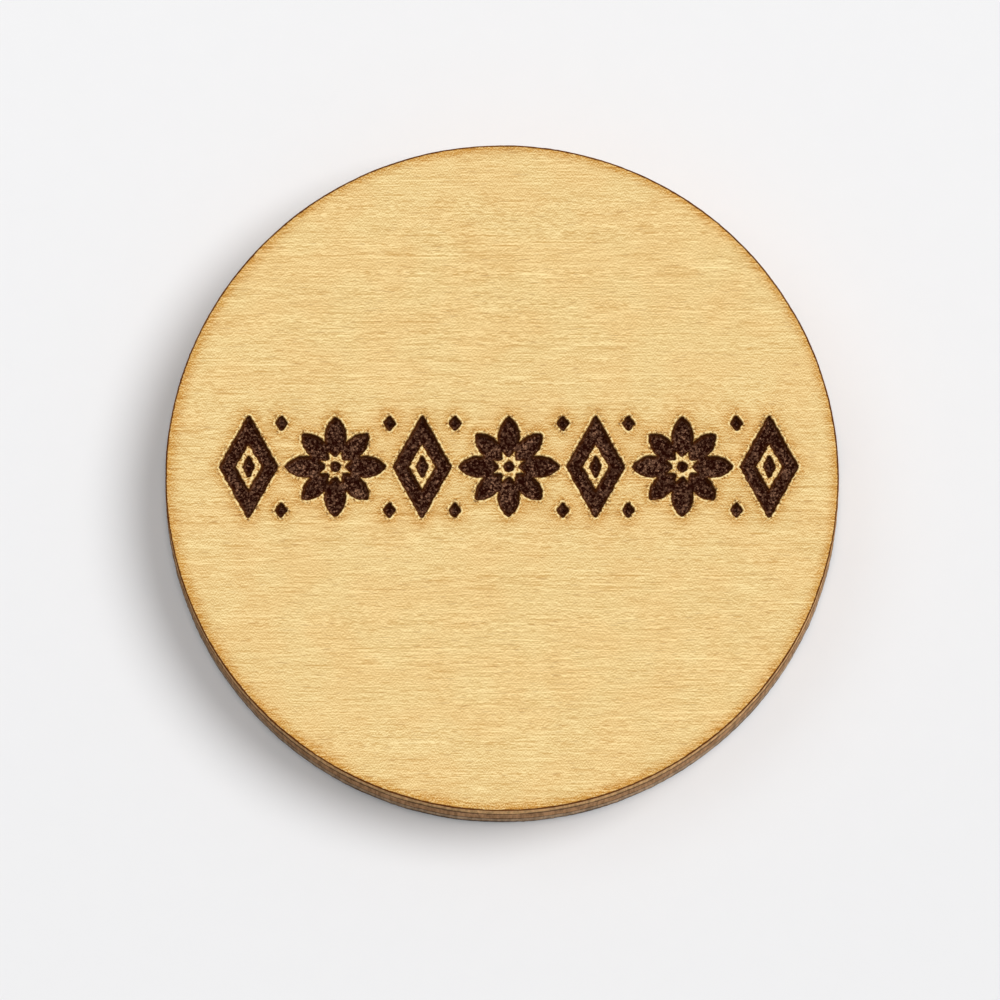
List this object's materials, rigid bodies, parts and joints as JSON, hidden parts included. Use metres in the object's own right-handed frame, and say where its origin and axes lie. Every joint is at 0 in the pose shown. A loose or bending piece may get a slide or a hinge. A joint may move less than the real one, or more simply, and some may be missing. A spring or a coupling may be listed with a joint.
{
  "type": "game token",
  "caption": "Round laser-cut plywood game token with a band of ornaments engraved across its face.",
  "frame": {"origin": "centre of the back face, on the surface that the token lies on", "axes": "+Z out of the engraved face, +X along the engraved band and the face grain, +Y up the face"},
  "size_m": [0.0254, 0.0254, 0.003],
  "materials": {
    "face_wood": "fine sanded bare face veneer, grain along X, with laser-browned edges and engraving",
    "core_wood": "laser-cut edge of the core veneer, grain along Y, charred brown",
    "back_wood": "sanded bare back veneer, grain along X, with a smoked margin",
    "glue": "dark resin glue line"
  },
  "bodies": {
    "root": {"back_ply": "back_wood", "back_glue_line": "glue", "core_ply": "core_wood", "face_glue_line": "glue", "face_ply": "face_wood"}
  },
  "joints": []
}
